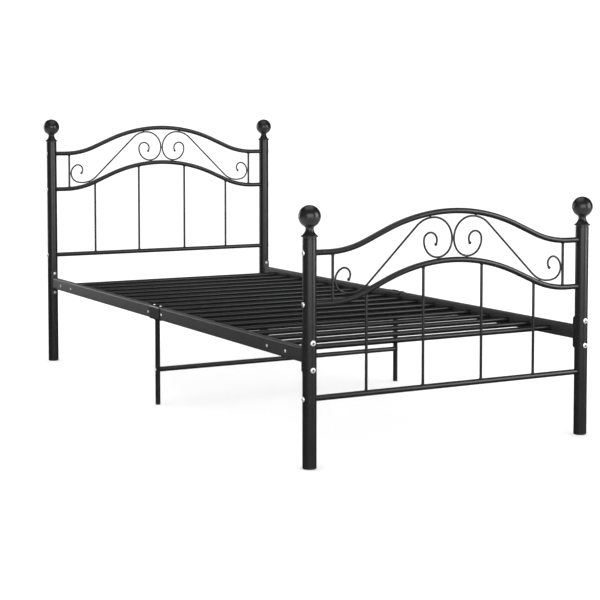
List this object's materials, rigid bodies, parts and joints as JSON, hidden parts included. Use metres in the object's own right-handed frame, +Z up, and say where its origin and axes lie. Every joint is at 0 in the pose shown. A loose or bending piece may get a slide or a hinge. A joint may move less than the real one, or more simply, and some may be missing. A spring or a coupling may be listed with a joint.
{
  "type": "metal bed frame",
  "caption": "Single bed frame in black steel tube: arched head and foot panels with scrollwork and spindles, posts with ball finials, side rails, round cross slats and a centre support.",
  "frame": {"origin": "on the floor, under the middle of the bed (bottom centre of the whole frame)", "axes": "+Z up, +Y from the footboard to the headboard, +X to the right seen from the foot of the bed"},
  "size_m": [0.97, 2.09, 0.925],
  "materials": {
    "post_paint": "satin black powder coat",
    "finial_paint": "gloss black",
    "panel_paint": "satin black powder coat",
    "rail_paint": "satin black powder coat",
    "slat_paint": "satin black powder coat",
    "leg_paint": "satin black powder coat"
  },
  "bodies": {
    "root": {"centre_crossbar": "leg_paint", "centre_leg_left": "leg_paint", "centre_leg_right": "leg_paint", "foot_finial_left": "finial_paint", "foot_finial_right": "finial_paint", "foot_post_left": "post_paint", "foot_post_right": "post_paint", "footboard_arch_rail": "panel_paint", "footboard_bottom_rail": "panel_paint", "footboard_scroll_left": "panel_paint", "footboard_scroll_right": "panel_paint", "footboard_spindle_1": "panel_paint", "footboard_spindle_2": "panel_paint", "footboard_spindle_3": "panel_paint", "footboard_spindle_4": "panel_paint", "footboard_top_rail": "panel_paint", "footboard_upright_left": "panel_paint", "footboard_upright_right": "panel_paint", "head_finial_left": "finial_paint", "head_finial_right": "finial_paint", "head_post_left": "post_paint", "head_post_right": "post_paint", "headboard_arch_rail": "panel_paint", "headboard_bottom_rail": "panel_paint", "headboard_scroll_left": "panel_paint", "headboard_scroll_right": "panel_paint", "headboard_spindle_1": "panel_paint", "headboard_spindle_2": "panel_paint", "headboard_spindle_3": "panel_paint", "headboard_spindle_4": "panel_paint", "headboard_top_rail": "panel_paint", "headboard_upright_left": "panel_paint", "headboard_upright_right": "panel_paint", "rail_bracket_foot_left": "rail_paint", "rail_bracket_foot_right": "rail_paint", "rail_bracket_head_left": "rail_paint", "rail_bracket_head_right": "rail_paint", "side_rail_foot_left": "rail_paint", "side_rail_foot_right": "rail_paint", "side_rail_head_left": "rail_paint", "side_rail_head_right": "rail_paint", "slat_01": "slat_paint", "slat_02": "slat_paint", "slat_03": "slat_paint", "slat_04": "slat_paint", "slat_05": "slat_paint", "slat_06": "slat_paint", "slat_07": "slat_paint", "slat_08": "slat_paint", "slat_09": "slat_paint", "slat_10": "slat_paint", "slat_11": "slat_paint", "slat_12": "slat_paint", "slat_13": "slat_paint", "slat_14": "slat_paint", "slat_15": "slat_paint", "slat_16": "slat_paint", "slat_17": "slat_paint", "slat_18": "slat_paint"}
  },
  "joints": []
}
